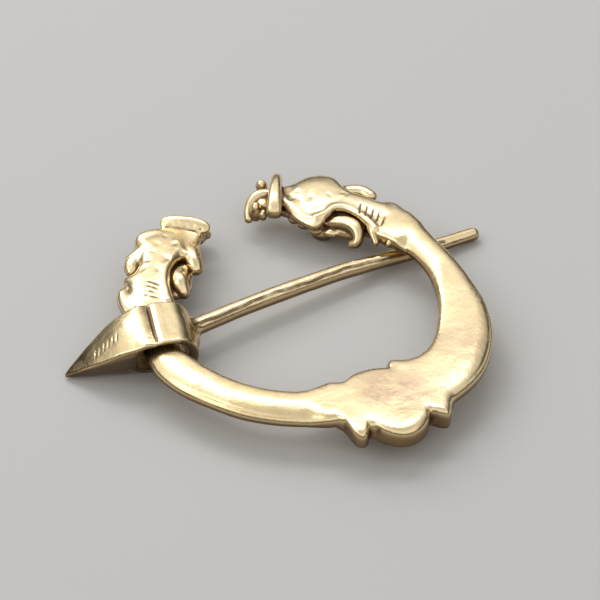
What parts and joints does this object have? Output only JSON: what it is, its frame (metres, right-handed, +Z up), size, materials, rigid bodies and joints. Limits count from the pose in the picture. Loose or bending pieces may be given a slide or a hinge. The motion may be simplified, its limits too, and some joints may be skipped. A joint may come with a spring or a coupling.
{
  "type": "fibula brooch",
  "caption": "Open-ring brooch with a mask in the middle, beast heads at its ends, and a hinged pin whose loop has a pointed tongue; it lies front down.",
  "frame": {"origin": "middle of the bounding box in plan, on the surface that the brooch lies on", "axes": "+X along the pin, from the tongue to the shaft's tip; +Y from the mask towards the gap between the heads; +Z up, out of the plain back"},
  "size_m": [0.057, 0.0496, 0.0068],
  "materials": {
    "hoop": "polished casting, pale gold, brown patina in the hollows",
    "pin": "polished casting, pale gold, lengthwise scratches"
  },
  "bodies": {
    "hoop": {"hoop": "hoop"},
    "pin": {"pin": "pin"}
  },
  "joints": [
    {"name": "pin_swing", "type": "hinge", "parent": "hoop", "child": "pin", "pos_m": [-0.01754, 0.00419, 0.0034], "axis": [0.2756, 0.9613, 0], "range_deg": [0, 165]}
  ]
}
